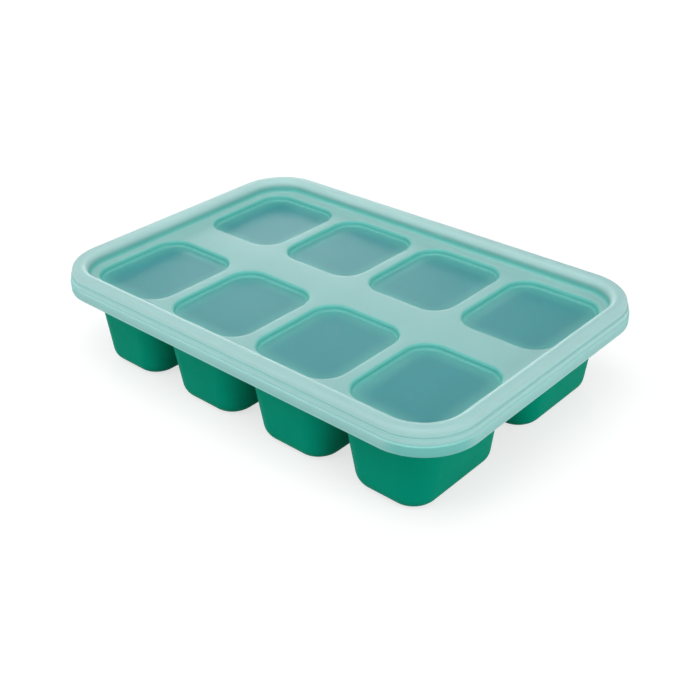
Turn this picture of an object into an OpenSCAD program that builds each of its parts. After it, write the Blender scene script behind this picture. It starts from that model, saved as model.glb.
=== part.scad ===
// Baby food freezer tray: a one-piece silicone tray of eight push-out cups
// under a stiff see-through snap lid. Millimetres, +Z up. The origin is on
// the table under the middle of the tray, +X runs along the rows of cups.

/* [Layout of the lid's deck] */
// Length of a sunk panel at the lid's deck
panel_l = 44.8; // [42:0.1:47]
// Width of a sunk panel at the lid's deck
panel_w = 50.8; // [48:0.1:54]
// Deck left between two panels of one row
web_x = 4.2; // [3.4:0.1:6]
// Deck left between the two rows of panels
web_y = 16.8; // [12:0.1:20]
// Deck left between an end panel and the raised border
margin_x = 3.1; // [2.8:0.1:6]
// Deck left between a panel's outer side and the raised border
margin_y = 4.8; // [3.6:0.1:8]

/* [Lid] */
// Corner radius of the lid's skirt
lid_r = 24.5; // [18:0.5:30]
// Wall thickness of the lid
lid_t = 1.4; // [1:0.1:1.6]
// Height of the lid's raised border above its deck
border_rise = 6.2; // [5:0.1:7.5]
// Width of the raised border, from the skirt to its inner wall
border_w = 8; // [7.4:0.1:9]
// Rounding of the border's inner top edge
border_edge = 1; // [0.6:0.1:1.4]
// Fillet where the border's inner wall meets the deck
border_fillet = 1.6; // [0.8:0.1:1.8]
// Drop of the skirt's edge below the lid's deck
skirt_drop = 4.1; // [3.6:0.1:4.8]
// Inward step at each of the skirt's two ledges
skirt_step = 0.6; // [0.3:0.05:0.8]
// Height of the skirt's lowest band
skirt_band = 4.4; // [3.4:0.1:4.8]
// Height of the skirt's middle band
skirt_middle = 2.5; // [1.8:0.1:3]
// Rounding of the skirt's top edge
skirt_round = 1.9; // [1:0.1:2]

/* [Lid panels] */
// Corner radius of a sunk panel
panel_r = 11.5; // [9:0.1:14]
// Depth of a sunk panel below the deck
panel_depth = 2.6; // [2.4:0.1:2.9]
// Rounding of the deck's edge round a panel
panel_edge = 1.2; // [0.8:0.1:1.2]
// Fillet round a panel's floor
panel_fillet = 1.2; // [0.8:0.1:1.2]

/* [Tray] */
// Height of the deck's underside above the table
deck_h = 35.2; // [30:0.2:42]
// Thickness of the deck between the cups
deck_t = 3; // [2.8:0.1:3.6]
// Width of the sealing bead that stands round the deck
bead_w = 3.2; // [2.4:0.1:3.4]
// Fillet between the bead and the deck
bead_fillet = 1.8; // [1:0.1:2]
// Gap between the bead and the inside of the lid's border
bead_gap = 0.4; // [0.2:0.05:0.6]
// Gap between the flange's rim and the lid's skirt
flange_gap = 0.4; // [0.2:0.05:0.6]
// Gap between a lid panel and the mouth that it closes
panel_gap = 0.45; // [0.2:0.05:0.6]

/* [Cups] */
// Wall thickness of a cup
cup_wall = 2.3; // [1.8:0.1:2.5]
// Floor thickness of a cup
cup_floor = 2.2; // [1.6:0.1:3]
// Lean of the walls between neighbouring cups, degrees
draft_between = 11.2; // [8:0.1:14]
// Lean of the walls at the two ends of the tray, degrees
draft_end = 8.4; // [6:0.1:12]
// Lean of the walls along the tray's long sides, degrees
draft_side = 3.9; // [3:0.1:8]
// Ledge round a cup's mouth, under the lid's panel
mouth_ledge = 0.4; // [0.3:0.1:1]
// Ledge at the mouth of an end cup, towards the tray's end
end_ledge = 3.7; // [2:0.1:4.5]
// Flare of an end wall where it runs into the flange
end_flare = 2.7; // [1:0.1:3.5]
// Flare of a side wall where it runs into the flange
side_flare = 1.2; // [0.6:0.1:2]
// Outer corner radius of a cup at the table
foot_r = 10.5; // [8:0.1:13]
// Fillet round a cup's foot
foot_fillet = 5.5; // [4:0.1:7]
// Height of the push-out base below the wall that flexes
base_h = 14; // [11:0.5:18]

/* [Hidden] */
columns = 4;
rows = 2;
cup_count = columns * rows;
fine = 48;
corner_steps = 7;
fillet_steps = 5;
join = 0.4;
cut_past = 1;

silicone_green = [0.0, 0.53, 0.42];
frosted_white = [0.72, 0.86, 0.85, 0.75];

// Heights
deck_top = deck_h + deck_t;
lid_deck = deck_top + lid_t;
border_top = lid_deck + border_rise;
skirt_edge = lid_deck - skirt_drop;
panel_top = lid_deck - panel_depth;
panel_under = panel_top - lid_t;
bead_top = border_top - lid_t - bead_gap;

// The cups' spacing and the lid's size follow from the panels and the deck
// left round them
cup_pitch_x = panel_l + web_x;
cup_pitch_y = panel_w + web_y;
lid_l = columns * cup_pitch_x - web_x + 2 * (margin_x + border_w);
lid_w = rows * cup_pitch_y - web_y + 2 * (margin_y + border_w);

// Every outline below is a rounded rectangle about the same corner centres,
// so a profile is drawn once as [distance from the corner centre, height].
lid_cx = lid_l / 2 - lid_r;
lid_cy = lid_w / 2 - lid_r;
border_in = lid_r - border_w;
channel_in = border_in + lid_t;
channel_out = lid_r - 2 * skirt_step - lid_t;
bead_in = channel_in + bead_gap;
bead_out = bead_in + bead_w;
flange_out = lid_r - lid_t - flange_gap;
band_top = skirt_edge + skirt_band;
middle_top = band_top + skirt_middle;
flange_top = band_top - lid_t - flange_gap;

// Corner centres of one panel, about the middle of its cup
panel_cx = panel_l / 2 - panel_r;
panel_cy = panel_w / 2 - panel_r;
panel_foot = panel_r - panel_edge - panel_fillet;
pan_out = panel_foot + panel_fillet + lid_t;
seat_r = pan_out + panel_gap;

function arc(cx, cy, r, from, to, steps = fillet_steps) =
    [for (i = [0 : steps]) let (a = from + (to - from) * i / steps) [cx + r * cos(a), cy + r * sin(a)]];

// A rounded rectangle: corner centres at +-cx, +-cy, corner radius r
module rounded(cx, cy, r) {
    square([2 * (cx + r), 2 * cy], center = true);
    square([2 * cx, 2 * (cy + r)], center = true);
    for (x = [-cx, cx], y = [-cy, cy]) translate([x, y]) circle(r, $fn = fine);
}

module slab(cx, cy, r, low, high) {
    translate([0, 0, low]) linear_extrude(high - low) rounded(cx, cy, r);
}

// Carries a profile once round the corner centres
module swept(cx, cy, profile) {
    for (side = [0, 1]) rotate(180 * side) {
        translate([cx, cy, 0]) rotate_extrude(angle = 90, $fn = fine) polygon(profile);
        translate([-cx, cy, 0]) rotate(90) rotate_extrude(angle = 90, $fn = fine) polygon(profile);
        translate([cx, cy, 0]) rotate([90, 0, 0]) linear_extrude(2 * cy) polygon(profile);
        translate([-cx, cy, 0]) rotate([90, 0, 90]) linear_extrude(2 * cx) polygon(profile);
    }
}

// Where cup n stands: 1 to 4 along the near row, 5 to 8 along the far row
function column(n) = (n - 1) % columns;
function row(n) = floor((n - 1) / columns);
function cup_x(n) = (column(n) - (columns - 1) / 2) * cup_pitch_x;
function cup_y(n) = (row(n) - (rows - 1) / 2) * cup_pitch_y;

// ---------------------------------------------------------------- cups

// Outer reach of a cup's walls from its middle, at height z
mouth_r = seat_r - mouth_ledge + cup_wall;
mouth_between = panel_cx + mouth_r;
mouth_end = panel_cx + seat_r - end_ledge + cup_wall;
mouth_side = panel_cy + mouth_r;
function reach(mouth, draft, z) = mouth - (deck_h - z) * tan(draft);
function outer_r(z) = foot_r + (mouth_r - foot_r) * z / deck_h;
// Rounding of the foot, and of the corner inside it
function foot_inset(z, low, r) = z >= low + r ? 0 : r - sqrt(r * r - pow(low + r - z, 2));
// Flare of the outer wall where it runs into the deck's underside
function flare(z, r) = z <= deck_h - r ? 0 : r - sqrt(r * r - pow(z - deck_h + r, 2));

// One ring of points round cup n at height z, drawn in from the outer wall
function ring(n, z, inset, widen = 0) =
    let (left_end = column(n) == 0,
         right_end = column(n) == columns - 1,
         between = reach(mouth_between, draft_between, z) - inset,
         end = reach(mouth_end, draft_end, z) - inset + widen * flare(z, end_flare),
         side = reach(mouth_side, draft_side, z) - inset + widen * flare(z, side_flare),
         low_x = left_end ? -end : -between,
         high_x = right_end ? end : between,
         r = outer_r(z) - inset)
    [for (q = [0 : 3], i = [0 : corner_steps])
        let (a = 90 * (q + i / corner_steps),
             x = q == 0 || q == 3 ? high_x - r : low_x + r,
             y = q < 2 ? side - r : r - side)
        [cup_x(n) + x + r * cos(a), cup_y(n) + y + r * sin(a), z]];

function outer_ring(n, z) = ring(n, z, foot_inset(z, 0, foot_fillet), 1);
function inner_ring(n, z) = ring(n, z, cup_wall + foot_inset(z, cup_floor, foot_fillet - cup_wall));

// Joins rings of points with a skin, closed on itself or capped at both ends
module loft(rings, closed) {
    n = len(rings[0]);
    m = len(rings);
    last = closed ? m - 1 : m - 2;
    sides = [for (k = [0 : last], i = [0 : n - 1])
        let (a = k * n, b = ((k + 1) % m) * n, j = (i + 1) % n) [a + i, a + j, b + j, b + i]];
    caps = closed ? [] : [[for (i = [n - 1 : -1 : 0]) i], [for (i = [0 : n - 1]) (m - 1) * n + i]];
    polyhedron([for (r = rings) each r], concat(sides, caps), convexity = 6);
}

function quarter(i) = 1 - cos(90 * i / fillet_steps);

// The wall that stays with the tray, from the base up to the deck
module cup_wall_ring(n) {
    outer_heights = concat([for (i = [0 : fillet_steps]) deck_h - end_flare * quarter(i)], [base_h]);
    loft(concat([for (z = outer_heights) outer_ring(n, z)],
                [for (z = [base_h, deck_h]) inner_ring(n, z)]), true);
}

// The cup's floor, foot and lower wall, which the thumb pushes up
module cup_base(n) {
    inner_fillet = foot_fillet - cup_wall;
    color(silicone_green)
        loft(concat([for (i = [0 : fillet_steps]) inner_ring(n, cup_floor + inner_fillet * quarter(i))],
                    [inner_ring(n, base_h), outer_ring(n, base_h)],
                    [for (i = [fillet_steps : -1 : 0]) outer_ring(n, foot_fillet * quarter(i))]), false);
}

// ---------------------------------------------------------------- tray

// Deck, flange, sealing bead and the eight cup walls, moulded in one
module tray() {
    rim = concat(
        [[bead_in - bead_fillet - join, deck_h], [flange_out, deck_h], [flange_out, flange_top]],
        arc(bead_out - bead_w / 2, bead_top - bead_w / 2, bead_w / 2, 0, 180, 2 * fillet_steps),
        arc(bead_in - bead_fillet, deck_top + bead_fillet, bead_fillet, 0, -90),
        [[bead_in - bead_fillet - join, deck_top]]);
    color(silicone_green) {
        swept(lid_cx, lid_cy, rim);
        difference() {
            slab(lid_cx, lid_cy, bead_in - bead_fillet - join, deck_h, deck_top);
            for (n = [1 : cup_count]) translate([cup_x(n), cup_y(n), 0])
                slab(panel_cx, panel_cy, seat_r, deck_h - cut_past, deck_top + cut_past);
        }
        for (n = [1 : cup_count]) cup_wall_ring(n);
    }
}

// ---------------------------------------------------------------- lid

// Skirt in three bands, raised border and its fillet down to the deck
module lid_border() {
    s = skirt_step;
    top_out = lid_r - 2 * s;
    outside = concat(
        [[lid_r, skirt_edge], [lid_r, band_top - s]],
        arc(lid_r - s, band_top - s, s, 0, 90, 3),
        [[lid_r - s, middle_top - s]],
        arc(lid_r - 2 * s, middle_top - s, s, 0, 90, 3),
        arc(top_out - skirt_round, border_top - skirt_round, skirt_round, 0, 90),
        arc(border_in + border_edge, border_top - border_edge, border_edge, 90, 180),
        arc(border_in - border_fillet, lid_deck + border_fillet, border_fillet, 0, -90),
        [[border_in - border_fillet - join, lid_deck]]);
    under = border_fillet + lid_t;
    inside = concat(
        [[border_in - border_fillet - join, deck_top]],
        arc(border_in - border_fillet, deck_top + under, under, -90, 0),
        [[channel_in, border_top - lid_t], [channel_out, border_top - lid_t],
         [channel_out, middle_top - s - lid_t / 2], [channel_out + s, band_top - s],
         [channel_out + 2 * s, band_top - s - lid_t / 2], [channel_out + 2 * s, skirt_edge]]);
    swept(lid_cx, lid_cy, concat(outside, inside));
}

// The wall and floor of one sunk panel, about the middle of its cup
module lid_panel() {
    wall = concat(
        [[panel_r + join, lid_deck]],
        arc(panel_r, lid_deck - panel_edge, panel_edge, 90, 180),
        arc(panel_foot, panel_top + panel_fillet, panel_fillet, 0, -90),
        [[panel_foot - join, panel_top], [panel_foot - join, panel_under]],
        arc(panel_foot, panel_under + pan_out - panel_foot, pan_out - panel_foot, -90, 0),
        [[pan_out, deck_top], [panel_r + join, deck_top]]);
    swept(panel_cx, panel_cy, wall);
    slab(panel_cx, panel_cy, panel_foot - join, panel_under, panel_top);
}

module lid() {
    color(frosted_white) {
        lid_border();
        difference() {
            slab(lid_cx, lid_cy, border_in - border_fillet - join, deck_top, lid_deck);
            for (n = [1 : cup_count]) translate([cup_x(n), cup_y(n), 0])
                slab(panel_cx, panel_cy, panel_r + join, deck_top - cut_past, lid_deck + cut_past);
        }
        for (n = [1 : cup_count]) translate([cup_x(n), cup_y(n), 0]) lid_panel();
    }
}

base_names = [for (n = [1 : cup_count]) str("cup_base_", n)];

tray();
for (n = [1 : cup_count]) cup_base(n);
lid();
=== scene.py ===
"""Baby food freezer tray: eight push-out cups of green silicone under a frosted clip-down lid."""

import math

import bmesh
import bpy
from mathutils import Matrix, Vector


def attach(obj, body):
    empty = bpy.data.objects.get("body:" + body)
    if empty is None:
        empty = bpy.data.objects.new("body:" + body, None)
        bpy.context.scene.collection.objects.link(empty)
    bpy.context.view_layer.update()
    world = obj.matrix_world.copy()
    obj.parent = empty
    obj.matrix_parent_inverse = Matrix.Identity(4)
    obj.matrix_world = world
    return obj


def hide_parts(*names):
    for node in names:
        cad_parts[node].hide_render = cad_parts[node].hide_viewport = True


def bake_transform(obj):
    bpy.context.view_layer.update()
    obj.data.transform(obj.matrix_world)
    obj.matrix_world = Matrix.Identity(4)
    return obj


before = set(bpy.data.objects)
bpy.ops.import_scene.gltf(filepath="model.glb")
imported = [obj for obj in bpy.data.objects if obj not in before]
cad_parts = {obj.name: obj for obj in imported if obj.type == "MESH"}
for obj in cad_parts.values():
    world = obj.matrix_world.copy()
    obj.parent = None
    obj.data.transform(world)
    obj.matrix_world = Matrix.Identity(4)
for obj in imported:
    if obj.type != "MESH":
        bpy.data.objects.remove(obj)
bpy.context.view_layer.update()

MM = 0.001

# -------------------------------------------------------------- sizes, mm

PITCH_X, PITCH_Y = 49.0, 67.6
COLUMNS, ROWS = 4, 2

LID_L, LID_W, LID_R = 214.0, 144.0, 24.5
LID_T = 1.4
CORNER_X, CORNER_Y = LID_L / 2 - LID_R, LID_W / 2 - LID_R
DECK_TOP = 38.2
LID_DECK = DECK_TOP + LID_T
BORDER_TOP = 45.8
SKIRT_EDGE = 35.5
BORDER_IN = LID_R - 8.0
LEDGE = 0.6
LOW_BAND_TOP = 39.9
MIDDLE_BAND_TOP = 42.4

PANEL_L, PANEL_W, PANEL_R = 44.8, 50.8, 11.5
PANEL_TOP = LID_DECK - 2.6
PANEL_EDGE = 1.2
PANEL_FOOT = PANEL_R - 2 * PANEL_EDGE
PANEL_CX, PANEL_CY = PANEL_L / 2 - PANEL_R, PANEL_W / 2 - PANEL_R

DECK_UNDER = 35.2
DECK_GAP = 0.05  # keeps the drawn deck just under the lid that rests on it
BEAD_W = 3.2
BEAD_IN = BORDER_IN + LID_T + 0.4
BEAD_TOP = BORDER_TOP - LID_T - 0.4
FLANGE_OUT = LID_R - LID_T - 0.4
FLANGE_TOP = LOW_BAND_TOP - LID_T - 0.4
SEAT_R = PANEL_FOOT + PANEL_EDGE + LID_T + 0.45

WALL, FLOOR = 2.3, 2.2
FOOT_R, FOOT_FILLET = 10.5, 5.5
MOUTH_R = SEAT_R - 0.4 + WALL
REACH_BETWEEN = PANEL_CX + MOUTH_R
REACH_END = PANEL_CX + SEAT_R - 3.7 + WALL
REACH_SIDE = PANEL_CY + MOUTH_R
LEAN_BETWEEN = math.tan(math.radians(11.2))
LEAN_END = math.tan(math.radians(8.4))
LEAN_SIDE = math.tan(math.radians(3.9))

SWEEP_R = 10.0  # radius of the circle that every profile is swept round
FLAT_RUN = 0.5  # how far a profile runs on into a flat sheet

# faces in a quarter turn
LID_RIM_STEPS, LID_PANEL_STEPS = 22, 14
DECK_RIM_STEPS, DECK_SEAT_STEPS = 18, 12
CUP_STEPS = 14

# metres
LEVEL_TOLERANCE = 0.00002
WELD_DISTANCE = 0.000004
NO_SHEET = -1.0  # a level where no edge lies

# ----------------------------------------------------------------- camera

CAMERA_AZIMUTH, CAMERA_ELEVATION, CAMERA_ROLL = 42.385, 30.931, -1.534
CAMERA_DISTANCE = 511.8
CAMERA_AIM = (-13.628, 20.598, -4.963)
SENSOR_WIDTH = 36.0
FOCAL_PIXELS, PHOTO_PIXELS = 1105.8, 700.0


def linked(name, data):
    """A new object of the scene that holds that data."""
    made = bpy.data.objects.new(name, data)
    bpy.context.scene.collection.objects.link(made)
    return made


def photo_camera():
    azimuth, elevation = math.radians(CAMERA_AZIMUTH), math.radians(CAMERA_ELEVATION)
    roll = math.radians(CAMERA_ROLL)
    away = Vector((math.sin(azimuth) * math.cos(elevation),
                   -math.cos(azimuth) * math.cos(elevation), math.sin(elevation)))
    data = bpy.data.cameras.new("photo_camera")
    data.sensor_width = SENSOR_WIDTH
    data.lens = SENSOR_WIDTH * FOCAL_PIXELS / PHOTO_PIXELS
    data.clip_start, data.clip_end = 0.01, 20.0
    camera = linked("photo_camera", data)
    camera.location = Vector(CAMERA_AIM) * MM + away * (CAMERA_DISTANCE * MM)
    turn = (-away).to_track_quat("-Z", "Y").to_matrix()
    right, up = turn.col[0].copy(), turn.col[1].copy()
    turn.col[0] = right * math.cos(roll) + up * math.sin(roll)
    turn.col[1] = up * math.cos(roll) - right * math.sin(roll)
    camera.rotation_euler = turn.to_euler()
    bpy.context.scene.camera = camera


# ----------------------------------------------------------- node helpers

def wire(tree, kind, values=(), **settings):
    """A node of that kind; values go to its inputs by place or name, and may be sockets."""
    node = tree.nodes.new(kind)
    for key, value in settings.items():
        setattr(node, key, value)
    for key, value in dict(values if isinstance(values, dict) else enumerate(values)).items():
        socket = node.inputs[key]
        if isinstance(value, bpy.types.NodeSocket):
            tree.links.new(value, socket)
        else:
            socket.default_value = value
    return node


def maths(tree, operation, *values):
    return wire(tree, "ShaderNodeMath", values, operation=operation).outputs[0]


def vector(tree, **parts):
    return wire(tree, "ShaderNodeCombineXYZ", parts).outputs[0]


def split(tree, socket):
    """The X, Y and Z sockets of a vector."""
    return wire(tree, "ShaderNodeSeparateXYZ", [socket]).outputs


def ranged(tree, value, low, high, to_low=0.0, to_high=1.0):
    return wire(tree, "ShaderNodeMapRange", {
        "Value": value, "From Min": low, "From Max": high,
        "To Min": to_low, "To Max": to_high}).outputs[0]


def both(tree, *masks):
    product = masks[0]
    for mask in masks[1:]:
        product = maths(tree, "MULTIPLY", product, mask)
    return product


# --------------------------------------------------------- geometry trees

CORNERS = ("Corner X Left", "Corner X Right", "Corner Y")
LEANS = ("Lean X Left", "Lean X Right", "Lean Y")
GRID_COUNTS, GRID_PITCHES = ("Columns", "Rows"), ("Pitch X", "Pitch Y")


def new_group(name, **inputs):
    """A geometry tree and its input sockets, whose labels are given by kind."""
    group = bpy.data.node_groups.new(name, "GeometryNodeTree")
    for kind, labels in inputs.items():
        for label in labels:
            group.interface.new_socket(label, in_out="INPUT", socket_type="NodeSocket" + kind)
    group.interface.new_socket("Geometry", in_out="OUTPUT", socket_type="NodeSocketGeometry")
    return group, group.nodes.new("NodeGroupInput").outputs


def finish_group(group, geometry):
    group.links.new(geometry, group.nodes.new("NodeGroupOutput").inputs[0])
    return group


def corner_sweep_group():
    """Sweeps a profile once round a circle, then draws the quarters apart to their corners."""
    group, given = new_group("corner_sweep", Object=["Profile"], Int=["Corner Steps"],
                             Float=["Path Radius", *CORNERS, *LEANS])
    points = maths(group, "MULTIPLY", given["Corner Steps"], 4)
    circle = wire(group, "GeometryNodeCurvePrimitiveCircle", {
        "Resolution": points, "Radius": given["Path Radius"]}).outputs[0]
    half_step = maths(group, "DIVIDE", math.pi, points)
    turned = wire(group, "GeometryNodeTransform", {
        "Geometry": circle, "Rotation": vector(group, Z=half_step)}).outputs[0]
    upright = wire(group, "GeometryNodeSetCurveNormal", {"Curve": turned}, mode="Z_UP").outputs[0]
    profile = wire(group, "GeometryNodeObjectInfo", {"Object": given["Profile"]})
    swept = wire(group, "GeometryNodeCurveToMesh", {
        "Curve": upright, "Profile Curve": profile.outputs["Geometry"]}).outputs[0]
    place = split(group, wire(group, "GeometryNodeInputPosition").outputs[0])

    def spread(axis, low_side, high_side):
        """The shift of each half out to its corner, which grows with height as a wall leans."""
        is_high = maths(group, "GREATER_THAN", place[axis], 0.0)
        is_low = maths(group, "SUBTRACT", 1.0, is_high)

        def outward(side, mask):
            corner = maths(group, "MULTIPLY_ADD", place["Z"],
                           given["Lean " + side], given["Corner " + side])
            return maths(group, "MULTIPLY", corner, mask)

        return maths(group, "SUBTRACT", outward(high_side, is_high), outward(low_side, is_low))

    shift = vector(group, X=spread("X", "X Left", "X Right"), Y=spread("Y", "Y", "Y"))
    return finish_group(group, wire(group, "GeometryNodeSetPosition", {
        "Geometry": swept, "Offset": shift}).outputs[0])


def open_edges_fill(tree, geometry, level):
    """A flat sheet inside the open edges that lie at that height."""
    height = split(tree, wire(tree, "GeometryNodeInputPosition").outputs[0])["Z"]
    at_level = maths(tree, "COMPARE", height, level, LEVEL_TOLERANCE)
    neighbours = wire(tree, "GeometryNodeInputMeshEdgeNeighbors").outputs[0]
    lone = maths(tree, "COMPARE", neighbours, 1.0, 0.5)
    outline = wire(tree, "GeometryNodeMeshToCurve", {
        "Mesh": geometry, "Selection": both(tree, at_level, lone)}).outputs[0]
    sheet = wire(tree, "GeometryNodeFillCurve", {"Curve": outline}).outputs[0]
    return wire(tree, "GeometryNodeTransform", {
        "Geometry": sheet, "Translation": vector(tree, Z=level)}).outputs[0]


def joined(tree, *parts):
    node = tree.nodes.new("GeometryNodeJoinGeometry")
    for part in parts:
        tree.links.new(part, node.inputs[0])
    return node.outputs[0]


def closed(tree, walls, *levels):
    """The walls and a flat sheet at each of those heights, welded into one skin."""
    sheets = [open_edges_fill(tree, walls, level) for level in levels]
    return wire(tree, "GeometryNodeMergeByDistance", {
        "Geometry": joined(tree, walls, *sheets), "Distance": WELD_DISTANCE}).outputs[0]


def at_cups(tree, given, shape, **only):
    """That shape over the middle of each cup; the cups count up the columns from the left."""
    def span(pitch, count):
        return maths(tree, "MULTIPLY", given[pitch], maths(tree, "SUBTRACT", given[count], 1))

    places = wire(tree, "GeometryNodeMeshGrid", {
        "Size X": span("Pitch X", "Columns"), "Size Y": span("Pitch Y", "Rows"),
        "Vertices X": given["Columns"], "Vertices Y": given["Rows"]}).outputs[0]
    copies = wire(tree, "GeometryNodeInstanceOnPoints", {
        "Points": places, "Instance": shape, **only}).outputs[0]
    return wire(tree, "GeometryNodeRealizeInstances", [copies]).outputs[0]


def painted(tree, given, shape):
    return wire(tree, "GeometryNodeSetMaterial", {
        "Geometry": shape, "Material": given["Material"]}).outputs[0]


def moulding_group(sweep):
    """A plate inside a swept rim, with one swept pocket for each cup."""
    levels = ("Plate Top", "Plate Under", "Floor Top", "Floor Under")
    group, given = new_group(
        "moulded_plate", Object=["Rim Profile", "Pocket Profile"], Material=["Material"],
        Int=["Rim Steps", "Pocket Steps", *GRID_COUNTS],
        Float=["Path Radius", "Rim Corner X", "Rim Corner Y", "Pocket Corner X",
               "Pocket Corner Y", *GRID_PITCHES, *levels])

    def swept(part):
        across = given[part + " Corner X"]
        return wire(group, "GeometryNodeGroup", {
            "Profile": given[part + " Profile"], "Corner Steps": given[part + " Steps"],
            "Path Radius": given["Path Radius"], "Corner X Left": across,
            "Corner X Right": across, "Corner Y": given[part + " Corner Y"]},
            node_tree=sweep).outputs[0]

    walls = joined(group, swept("Rim"), at_cups(group, given, swept("Pocket")))
    whole = closed(group, walls, *(given[label] for label in levels))
    return finish_group(group, painted(group, given, whole))


def cup_group(sweep):
    """One cup of the grid: a wall profile swept round corners that lean outward."""
    shape_inputs = ("Corner Steps", "Path Radius", *CORNERS, *LEANS)
    group, given = new_group(
        "push_out_cup", Object=["Wall Profile"], Material=["Material"],
        Int=["Corner Steps", "Cup", *GRID_COUNTS],
        Float=["Path Radius", "Floor Top", "Floor Under", *CORNERS, *LEANS, *GRID_PITCHES])
    wall = wire(group, "GeometryNodeGroup", {
        "Profile": given["Wall Profile"], **{label: given[label] for label in shape_inputs}},
        node_tree=sweep).outputs[0]
    cup = closed(group, wall, given["Floor Top"], given["Floor Under"])
    index = wire(group, "GeometryNodeInputIndex").outputs[0]
    chosen = maths(group, "COMPARE", index, given["Cup"], 0.5)
    single = at_cups(group, given, cup, Selection=chosen)
    return finish_group(group, painted(group, given, single))


# ------------------------------------------------------ profiles to meshes

def profile_curve(name, *lines):
    """Drawn lines as a flat curve; points are (distance from the corner centre, height), mm."""
    data = bpy.data.curves.new(name, "CURVE")
    data.dimensions = "3D"
    for line in lines:
        spline = data.splines.new("POLY")
        spline.points.add(len(line) - 1)
        for point, (reach, height) in zip(spline.points, line):
            point.co = ((reach - SWEEP_R) * MM, -height * MM, 0.0, 1.0)
    return linked(name, data)


def grown(name, group, values):
    """Runs a tree on an empty mesh, keeps its result as a mesh object and drops its profiles."""
    maker = linked(name + "_maker", bpy.data.meshes.new(name + "_maker"))
    modifier = maker.modifiers.new("shape", "NODES")
    modifier.node_group = group
    for item in group.interface.items_tree:
        if item.in_out == "INPUT" and item.name in values:
            modifier[item.identifier] = values[item.name]
    bpy.context.view_layer.update()
    result = maker.evaluated_get(bpy.context.evaluated_depsgraph_get())
    mesh = bpy.data.meshes.new_from_object(result)
    mesh.name = name
    profiles = [value for value in values.values() if isinstance(value, bpy.types.Object)]
    for used in (maker, *profiles):
        bpy.data.objects.remove(used, do_unlink=True)
    shell = bmesh.new()
    shell.from_mesh(mesh)
    bmesh.ops.triangulate(shell, faces=[f for f in shell.faces if len(f.verts) > 4])
    bmesh.ops.recalc_face_normals(shell, faces=shell.faces)
    shell.to_mesh(mesh)
    shell.free()
    mesh.shade_smooth()
    return linked(name, mesh)


def arc(cx, cy, r, start, end, steps):
    """Points of an arc in the profile's plane, angles in degrees."""
    angles = [math.radians(start + (end - start) * i / steps) for i in range(steps + 1)]
    return [(cx + r * math.cos(a), cy + r * math.sin(a)) for a in angles]


GRID = {
    "Columns": COLUMNS, "Rows": ROWS, "Pitch X": PITCH_X * MM, "Pitch Y": PITCH_Y * MM,
    "Path Radius": SWEEP_R * MM}
PLATE = {
    **GRID, "Rim Corner X": CORNER_X * MM, "Rim Corner Y": CORNER_Y * MM,
    "Pocket Corner X": PANEL_CX * MM, "Pocket Corner Y": PANEL_CY * MM}


# -------------------------------------------------------------------- lid

def lid_profiles():
    """The border with the skirt, and a panel's edge from above and from below."""
    foot_fillet, crest_round, shoulder_round, hem_round = 1.6, 2.8, 1.9, 0.35
    crease_round, ledge_round, ledge_foot = 0.2, 0.4, 0.7
    step_foot, step_top, inner_round = 1.3, 0.6, 0.8
    overlap = 0.1
    foot, under = BORDER_IN - foot_fillet, LID_DECK - LID_T
    top_band = LID_R - 2 * LEDGE
    outside = (
        [(foot - overlap, LID_DECK)] + arc(foot, LID_DECK + foot_fillet, foot_fillet, -90, 0, 8)
        + arc(BORDER_IN + crest_round, BORDER_TOP - crest_round, crest_round, 180, 90, 9)
        + [(BORDER_IN + crest_round + 0.2, BORDER_TOP),
           (top_band - shoulder_round - 0.3, BORDER_TOP)]
        + arc(top_band - shoulder_round, BORDER_TOP - shoulder_round, shoulder_round, 90, 0, 8))
    for band, height in ((top_band, MIDDLE_BAND_TOP), (LID_R - LEDGE, LOW_BAND_TOP)):
        outside += arc(band + crease_round, height + crease_round, crease_round, 180, 270, 3)
        outside += arc(band + LEDGE - ledge_round, height - ledge_round, ledge_round, 90, 0, 4)
        outside += [(band + LEDGE, height - ledge_foot)]
    outside += arc(LID_R - hem_round, SKIRT_EDGE + hem_round, hem_round, 0, -90, 4)

    inner = LID_R - LID_T
    inner_top = BORDER_TOP - LID_T - inner_round
    inside = (
        arc(inner + hem_round, SKIRT_EDGE + hem_round, hem_round, -90, -180, 4)
        + [(inner, LOW_BAND_TOP - step_foot), (inner - LEDGE, LOW_BAND_TOP - step_top),
           (inner - LEDGE, MIDDLE_BAND_TOP - step_foot),
           (inner - 2 * LEDGE, MIDDLE_BAND_TOP - step_top)]
        + arc(inner - 2 * LEDGE - inner_round, inner_top, inner_round, 0, 90, 4)
        + arc(BORDER_IN + LID_T + inner_round, inner_top, inner_round, 90, 180, 4)
        + arc(foot, LID_DECK + foot_fillet, foot_fillet + LID_T, 0, -90, 8)
        + [(foot - overlap, under)])

    # the lip stays short of the border's foot, and dips before it turns down
    lip_reach, lip_bend, lip_dip, lip_drop = 0.9, 0.5, 0.03, 0.1
    floor_end, floor_round = PANEL_FOOT - FLAT_RUN, PANEL_TOP + PANEL_EDGE
    top_wall = (
        [(PANEL_R + lip_reach, LID_DECK), (PANEL_R + lip_bend, LID_DECK - lip_dip)]
        + arc(PANEL_R, LID_DECK - PANEL_EDGE - lip_drop, PANEL_EDGE, 90, 180, 7)
        + arc(PANEL_FOOT, floor_round, PANEL_EDGE, 0, -90, 7)[1:] + [(floor_end, PANEL_TOP)])
    under_wall = (
        [(PANEL_R + 0.6, under), (PANEL_R + 0.4, under)]
        + arc(PANEL_FOOT, floor_round, PANEL_EDGE + LID_T, 0, -90, 8)
        + [(floor_end, PANEL_TOP - LID_T)])
    return outside + inside, top_wall, under_wall


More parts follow.
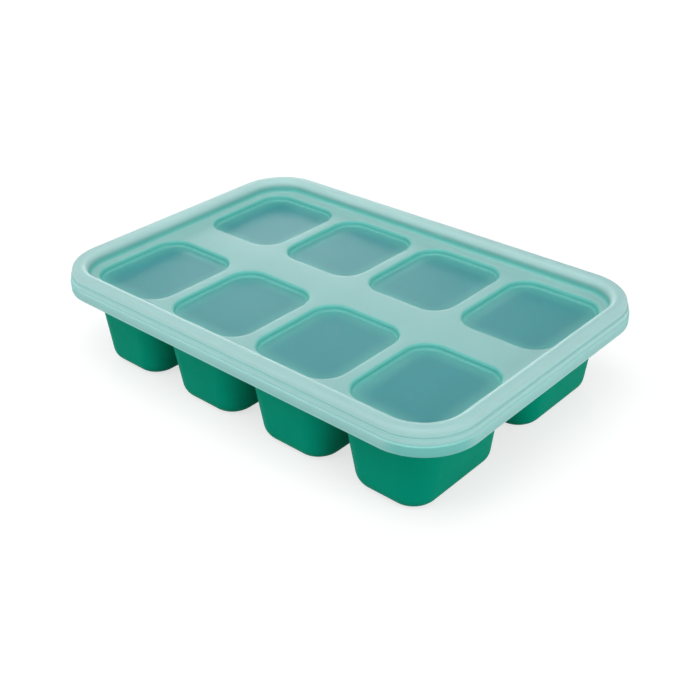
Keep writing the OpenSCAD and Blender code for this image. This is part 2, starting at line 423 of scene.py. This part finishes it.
def build_lid(moulding, plastic):
    rim, top_wall, under_wall = lid_profiles()
    lid = grown("frosted_lid", moulding, {
        **PLATE, "Rim Profile": profile_curve("lid_rim_profile", rim),
        "Pocket Profile": profile_curve("lid_panel_profile", top_wall, under_wall),
        "Rim Steps": LID_RIM_STEPS, "Pocket Steps": LID_PANEL_STEPS,
        "Plate Top": LID_DECK * MM, "Plate Under": (LID_DECK - LID_T) * MM,
        "Floor Top": PANEL_TOP * MM, "Floor Under": (PANEL_TOP - LID_T) * MM,
        "Material": plastic})
    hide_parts("lid")
    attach(lid, "lid")


# ------------------------------------------------------------------- tray

def build_deck(moulding, silicone):
    bead_foot_fillet, edge_round, seat_round, seat_run = 1.8, 0.5, 0.6, 1.0
    top = DECK_TOP - DECK_GAP
    foot = BEAD_IN - bead_foot_fillet
    bead_r = BEAD_W / 2
    rim = (
        [(foot - FLAT_RUN, top)]
        + arc(foot, top + bead_foot_fillet, bead_foot_fillet, -90, 0, 8)
        + arc(BEAD_IN + bead_r, BEAD_TOP - bead_r, bead_r, 180, 0, 16)
        + arc(BEAD_IN + BEAD_W + edge_round, FLANGE_TOP + edge_round, edge_round, 180, 270, 4)
        + arc(FLANGE_OUT - edge_round, FLANGE_TOP - edge_round, edge_round, 90, 0, 5)
        + arc(FLANGE_OUT - edge_round, DECK_UNDER + edge_round, edge_round, 0, -90, 5)
        + [(foot - FLAT_RUN, DECK_UNDER)])
    seat = (
        [(SEAT_R + seat_run, top)]
        + arc(SEAT_R + seat_round, top - seat_round, seat_round, 90, 180, 5)
        + [(SEAT_R, DECK_UNDER), (SEAT_R + seat_run, DECK_UNDER)])
    deck = grown("silicone_deck", moulding, {
        **PLATE, "Rim Profile": profile_curve("tray_rim_profile", rim),
        "Pocket Profile": profile_curve("tray_pocket_profile", seat),
        "Rim Steps": DECK_RIM_STEPS, "Pocket Steps": DECK_SEAT_STEPS,
        "Plate Top": top * MM, "Plate Under": DECK_UNDER * MM,
        "Floor Top": NO_SHEET, "Floor Under": NO_SHEET, "Material": silicone})
    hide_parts("tray")
    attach(deck, "tray")


def cup_profile():
    """Outer skin from the middle of the foot up to the deck, then down inside to the floor."""
    def outer_r(z):
        return FOOT_R + (MOUTH_R - FOOT_R) * z / DECK_UNDER

    def inner_r(z):
        return outer_r(z) - WALL

    # the shelf reaches into the deck, so that no slit shows at the wide end seats
    flare, mouth_round, shelf, shelf_in = 1.5, 0.3, DECK_UNDER + 0.1, SEAT_R + 0.3
    lowest, highest, gap, rings = 7, 33, 1.5, 18
    outer = [(outer_r(0) - FOOT_FILLET - FLAT_RUN, 0.0)]
    outer += [(outer_r(z) - FOOT_FILLET + reach, z)
              for reach, z in arc(0, FOOT_FILLET, FOOT_FILLET, -90, 0, 10)]
    outer += [(outer_r(z), z) for z in [lowest + gap * i for i in range(rings)]]
    outer += [(outer_r(z) + flare + reach, z)
              for reach, z in arc(0, DECK_UNDER - flare, flare, 180, 90, 5)]
    ledge = [(outer[-1][0], shelf), (shelf_in, shelf), (shelf_in, DECK_UNDER)]
    hollow = FOOT_FILLET - WALL
    heights = [DECK_UNDER - mouth_round] + [highest - gap * i for i in range(rings)]
    inner = [(inner_r(DECK_UNDER) + mouth_round, DECK_UNDER)]
    inner += [(inner_r(z), z) for z in heights]
    inner += [(inner_r(z) - hollow + reach, z)
              for reach, z in arc(0, FLOOR + hollow, hollow, 0, -90, 8)]
    inner.append((inner[-1][0] - FLAT_RUN, FLOOR))
    return outer + ledge + inner


def cup_corner(reach, lean):
    """A corner centre's place at the foot, in metres, and its own lean."""
    return (reach - DECK_UNDER * lean - FOOT_R) * MM, lean - (MOUTH_R - FOOT_R) / DECK_UNDER


def build_cups(sweep, silicone):
    tree = cup_group(sweep)
    between, at_end = cup_corner(REACH_BETWEEN, LEAN_BETWEEN), cup_corner(REACH_END, LEAN_END)
    side, lean_side = cup_corner(REACH_SIDE, LEAN_SIDE)
    for n in range(COLUMNS * ROWS):
        row, column = divmod(n, COLUMNS)
        left, lean_left = at_end if column == 0 else between
        right, lean_right = at_end if column == COLUMNS - 1 else between
        cup = grown(f"silicone_cup_{n + 1}", tree, {
            **GRID, "Wall Profile": profile_curve("cup_wall_profile", cup_profile()),
            "Corner Steps": CUP_STEPS, "Cup": column * ROWS + row,
            "Corner X Left": left, "Corner X Right": right, "Corner Y": side,
            "Lean X Left": lean_left, "Lean X Right": lean_right, "Lean Y": lean_side,
            "Floor Top": FLOOR * MM, "Floor Under": 0.0, "Material": silicone})
        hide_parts(f"cup_base_{n + 1}")
        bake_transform(cup)


# -------------------------------------------------------------- materials

SILICONE_DARK, SILICONE_PALE = (0.0, 0.315, 0.198, 1), (0.0, 0.355, 0.226, 1)
# lid tints; several of them are painted light and shade, as noted at each
TINT = {
    "deck": (0.40, 0.73, 0.72, 1),
    # painted light: a paler strip of deck along the foot of the border wall, where the wall
    # shades it
    "margin_light": (0.47, 0.80, 0.78, 1),
    "skirt_foot": (0.36, 0.77, 0.74, 1),
    "skirt_top": (0.54, 0.91, 0.89, 1),
    # painted shade: darker lines where each band of the skirt meets the ledge below it
    "crease_shade": (0.32, 0.64, 0.62, 1),
    # painted highlight: a paler line along the skirt's bottom lip
    "hem_highlight": (0.50, 0.92, 0.88, 1),
    "corner": (0.23, 0.72, 0.67, 1),
    # painted highlight on the rounding at the top of the skirt
    "shoulder_highlight": (0.56, 0.85, 0.83, 1),
    # painted light: a paler inner rounding of the border's crest
    "crest_side_light": (0.58, 0.88, 0.86, 1),
    # darker, greener inner border wall: partly the green bead seen through thick plastic, partly
    # painted shade
    "border_wall": (0.17, 0.62, 0.56, 1),
    # darker, greener panel walls: partly green silicone seen through the plastic, partly painted
    # shade
    "panel_wall": (0.13, 0.58, 0.52, 1),
    "panel_middle": (0.02, 0.50, 0.55, 1),
    # painted light: lighter, greener panel floor near its edge, standing in for the lit green cup
    # wall seen through
    "panel_rim_light": (0.20, 0.79, 0.76, 1),
    "clear": (0.90, 0.97, 0.96, 1),
    "sheen": (1.0, 0.93, 0.90, 1),
}
# share of see-through plastic in each part of the lid; the crest's comes on top
CLEAR_DECK, CLEAR_WALL, CLEAR_CREST, CLEAR_PANEL = 0.42, 0.25, 0.24, 0.62


def new_material(name):
    material = bpy.data.materials.new(name)
    material.use_nodes = True
    tree = material.node_tree
    tree.nodes.clear()
    return material, tree


def shown(tree, shader):
    """Sends a shader to the material's surface."""
    tree.links.new(shader, wire(tree, "ShaderNodeOutputMaterial").inputs[0])


def object_place(tree):
    return wire(tree, "ShaderNodeTexCoord").outputs["Object"]


def noise(tree, scale, detail, roughness):
    return wire(tree, "ShaderNodeTexNoise", {
        "Vector": object_place(tree), "Scale": scale, "Detail": detail,
        "Roughness": roughness}).outputs["Fac"]


def bumped(tree, height, strength, distance):
    return wire(tree, "ShaderNodeBump", {
        "Height": height, "Strength": strength, "Distance": distance}).outputs[0]


def mixed_colour(tree, share, one, other):
    return wire(tree, "ShaderNodeMix", {0: share, 6: one, 7: other}, data_type="RGBA").outputs[2]


def silicone_material():
    material, tree = new_material("green_silicone")
    shade = wire(tree, "ShaderNodeValToRGB", [noise(tree, 35.0, 3.0, 0.55)])
    dark, pale = shade.color_ramp.elements
    dark.position, pale.position = 0.3, 0.72
    dark.color, pale.color = SILICONE_DARK, SILICONE_PALE
    skin = wire(tree, "ShaderNodeBsdfPrincipled", {
        "Base Color": shade.outputs[0],
        "Roughness": ranged(tree, noise(tree, 420.0, 3.0, 0.6), 0.3, 0.7, 0.50, 0.64),
        "Normal": bumped(tree, noise(tree, 2600.0, 2.0, 0.6), 0.12, 0.0002),
        "IOR": 1.42, "Specular IOR Level": 0.04})
    shown(tree, skin.outputs[0])
    return material


def beyond(tree, value, half):
    """How far past that half-length a coordinate lies, in metres."""
    past = maths(tree, "SUBTRACT", maths(tree, "ABSOLUTE", value), half * MM)
    return maths(tree, "MAXIMUM", past, 0.0)


def length(tree, x, y):
    squares = maths(tree, "ADD", maths(tree, "MULTIPLY", x, x), maths(tree, "MULTIPLY", y, y))
    return maths(tree, "SQRT", squares)


def lid_zones(tree):
    """Masks from 0 to 1 for the lid's parts, from the place and the tilt of the surface."""
    xyz = split(tree, object_place(tree))
    upward = split(tree, wire(tree, "ShaderNodeNewGeometry").outputs["Normal"])["Z"]
    past_x, past_y = beyond(tree, xyz["X"], CORNER_X), beyond(tree, xyz["Y"], CORNER_Y)
    reach = length(tree, past_x, past_y)
    wrapped = wire(tree, "ShaderNodeMath", [xyz["X"], PITCH_X * MM, 0.0], operation="WRAP")
    column = maths(tree, "SUBTRACT", wrapped.outputs[0], PITCH_X / 2 * MM)
    row = maths(tree, "SUBTRACT", maths(tree, "ABSOLUTE", xyz["Y"]), PITCH_Y / 2 * MM)
    panel_reach = length(tree, beyond(tree, column, PANEL_CX), beyond(tree, row, PANEL_CY))

    # each mask goes from 0 at the first value to 1 at the second, mm
    def level(none, full):
        return ranged(tree, xyz["Z"], none * MM, full * MM)

    def out_to(none, full, distance=reach):
        return ranged(tree, distance, none * MM, full * MM)

    # painted shade along the concave corner above each ledge of the skirt
    def crease_shade(ledge, above):
        return both(tree, level(ledge + above, ledge + 0.3), level(ledge - 0.5, ledge - 0.1))

    topside = ranged(tree, upward, -0.25, -0.1)
    inside = both(tree, topside, out_to(BORDER_IN + 0.6, BORDER_IN + 0.1))
    height = level(SKIRT_EDGE, BORDER_TOP)
    edge = out_to(LID_R - 5.2, LID_R - 1.2)
    low_crease_shade = both(tree, crease_shade(LOW_BAND_TOP, 0.8), 0.6)
    return {
        "edge": edge,
        "skirt": ranged(tree, height, 0.1, 0.6),
        "crease_shade": maths(tree, "MAXIMUM", crease_shade(MIDDLE_BAND_TOP, 0.9), low_crease_shade),
        # painted highlight along the skirt's bottom lip
        "hem_highlight": both(tree, level(SKIRT_EDGE + 0.9, SKIRT_EDGE + 0.6), 0.8),
        "corner": both(tree, level(LOW_BAND_TOP + 0.4, LOW_BAND_TOP - 0.6),
                       ranged(tree, both(tree, past_x, past_y), 20e-6, 160e-6)),
        # painted highlight on the skirt's top rounding
        "shoulder_highlight": ranged(tree, height, 0.8, 0.92),
        "crest": both(tree, ranged(tree, height, 0.8, 0.93), edge),
        # painted light on the inner rounding of the crest
        "crest_side_light": both(tree, topside, level(BORDER_TOP - 3.6, BORDER_TOP - 2.4),
                           out_to(BORDER_IN + 3.6, BORDER_IN + 1.4)),
        # darker, greener inner border wall: partly green silicone seen through, partly painted
        # shade
        "border_wall": both(tree, topside, level(LID_DECK + 0.1, LID_DECK + 0.8),
                            level(BORDER_TOP - 2.5, BORDER_TOP - 4.1),
                            out_to(BORDER_IN + 1.8, BORDER_IN + 1.2)),
        # painted light on the deck strip at the border wall's foot
        "margin_light": both(tree, out_to(BORDER_IN - 6.5, BORDER_IN - 4.0),
                       level(LID_DECK + 0.3, LID_DECK + 0.1)),
        # darker, greener panel walls: partly green silicone seen through, partly painted shade
        "panel_wall": both(tree, inside, level(PANEL_TOP + 0.02, PANEL_TOP + 0.2),
                           level(LID_DECK - 0.06, LID_DECK - 0.3)),
        "panel_floor": both(tree, inside, level(PANEL_TOP + 0.2, PANEL_TOP + 0.02)),
        # painted light on the panel floor near its edge
        "panel_rim_light": out_to(PANEL_FOOT - 6.0, PANEL_FOOT - 0.4, panel_reach),
    }


def lid_material():
    """Milky plastic mixed with clear, and a clearer green-tinted floor in each sunk panel."""
    material, tree = new_material("frosted_plastic")
    zones = lid_zones(tree)
    frost = ranged(tree, noise(tree, 60.0, 3.0, 0.5), 0.3, 0.7, 0.44, 0.52)
    grain = bumped(tree, noise(tree, 3200.0, 2.0, 0.5), 0.08, 0.0001)

    def laid_over(colour, *names):
        for name in names:
            colour = mixed_colour(tree, zones[name], colour, TINT[name])
        return colour

    def plastic(colour, roughness, more=()):
        return wire(tree, "ShaderNodeBsdfPrincipled", {
            "Base Color": colour, "Roughness": roughness, "Normal": grain, "IOR": 1.46,
            "Specular IOR Level": 0.25, **dict(more)}).outputs[0]

    skirt = mixed_colour(tree, zones["skirt"], TINT["skirt_foot"], TINT["skirt_top"])
    # painted shade in the creases, painted highlights on the hem and the shoulder
    skirt = laid_over(skirt, "crease_shade", "hem_highlight", "corner", "shoulder_highlight")
    # the deck carries the painted light of the strip by the border wall
    colour = mixed_colour(tree, zones["edge"], laid_over(TINT["deck"], "margin_light"), skirt)
    # painted light on the crest's inner rounding; the walls' tint is partly painted shade
    colour = laid_over(colour, "crest_side_light", "border_wall", "panel_wall")
    milk = plastic(colour, frost, {
        "Sheen Weight": 0.15, "Sheen Roughness": 0.4, "Sheen Tint": TINT["sheen"]})
    # the panel floor carries painted light near its edge
    window = plastic(laid_over(TINT["panel_middle"], "panel_rim_light"), 0.3)
    clear = plastic(TINT["clear"], 0.3, {"Transmission Weight": 1.0})

    walls = maths(tree, "MAXIMUM", zones["border_wall"], zones["panel_wall"])
    thick = maths(tree, "MAXIMUM", zones["edge"], walls)
    seen_through = maths(tree, "ADD", ranged(tree, thick, 0.0, 1.0, CLEAR_DECK, CLEAR_WALL),
                         both(tree, zones["crest"], CLEAR_CREST))
    frosted = wire(tree, "ShaderNodeMixShader", [seen_through, milk, clear])
    smooth = wire(tree, "ShaderNodeMixShader", [CLEAR_PANEL, window, clear])
    body = wire(tree, "ShaderNodeMixShader", [
        zones["panel_floor"], frosted.outputs[0], smooth.outputs[0]])
    shown(tree, body.outputs[0])
    return material


# ----------------------------------------------------------------- studio

PAPER = (0.38, 0.38, 0.38, 1)
PAPER_HALF, PAPER_LEVEL = 4, -0.0002
GLOW_START, GLOW_END = 0.5, 1.8  # distance from the middle, metres
GLOW_NEAR, GLOW_FAR = 0.70, 1.0
AIR_LIGHT, AIR_SEEN = 0.45, 1.0

# place and aim in metres, width in metres, power in watts
LAMPS = {
    "overhead_softbox": ((0.1, -0.3, 0.95), (0, 0, 0), 0.8, 4.9),
    "front_softbox": ((-0.45, -0.85, 0.28), (0, 0, 0.02), 0.6, 2.4),
    "right_softbox": ((0.95, 0.0, 0.30), (0, 0, 0.02), 0.6, 3.2),
    "back_softbox": ((-0.66, 0.62, 0.13), (-0.03, 0.03, 0.04), 0.5, 1.9),
}


def seen(tree):
    """1 for rays that show a thing directly, mirrored or through plastic, 0 for its light."""
    ray = wire(tree, "ShaderNodeLightPath").outputs
    bounced = maths(tree, "MAXIMUM", ray["Is Glossy Ray"], ray["Is Transmission Ray"])
    return maths(tree, "MAXIMUM", ray["Is Camera Ray"], bounced)


def floor_material():
    """White paper, whose glow is only seen and lights nothing. It is brighter far out."""
    material, tree = new_material("studio_white")
    away = wire(tree, "ShaderNodeVectorMath", [object_place(tree)], operation="LENGTH")
    strength = ranged(tree, away.outputs["Value"], GLOW_START, GLOW_END, GLOW_NEAR, GLOW_FAR)
    paper = wire(tree, "ShaderNodeBsdfDiffuse", {"Color": PAPER})
    glow = wire(tree, "ShaderNodeEmission", {"Strength": both(tree, seen(tree), strength)})
    lit = wire(tree, "ShaderNodeAddShader", [paper.outputs[0], glow.outputs[0]])
    shown(tree, lit.outputs[0])
    return material


def build_studio():
    corners = [(x * PAPER_HALF, y * PAPER_HALF, PAPER_LEVEL)
               for x, y in ((-1, -1), (1, -1), (1, 1), (-1, 1))]
    mesh = bpy.data.meshes.new("studio_floor")
    mesh.from_pydata(corners, [], [(0, 1, 2, 3)])
    mesh.materials.append(floor_material())
    floor = linked("studio_floor", mesh)
    for name, (place, aim, width, power) in LAMPS.items():
        data = bpy.data.lights.new(name, "AREA")
        data.shape, data.size, data.energy = "SQUARE", width, power
        lamp = linked(name, data)
        lamp.location = place
        lamp.rotation_euler = (Vector(aim) - Vector(place)).to_track_quat("-Z", "Y").to_euler()
    world = bpy.data.worlds.new("studio_air")
    bpy.context.scene.world = world
    world.use_nodes = True
    tree = world.node_tree
    tree.nodes.clear()
    strength = ranged(tree, seen(tree), 0.0, 1.0, AIR_LIGHT, AIR_SEEN)
    air = wire(tree, "ShaderNodeBackground", {"Color": (1, 1, 1, 1), "Strength": strength})
    tree.links.new(air.outputs[0], wire(tree, "ShaderNodeOutputWorld").inputs[0])


bpy.context.scene.view_settings.view_transform = "Standard"
photo_camera()
build_studio()
corner_sweep = corner_sweep_group()
plate_tree = moulding_group(corner_sweep)
green = silicone_material()
build_lid(plate_tree, lid_material())
build_deck(plate_tree, green)
build_cups(corner_sweep, green)
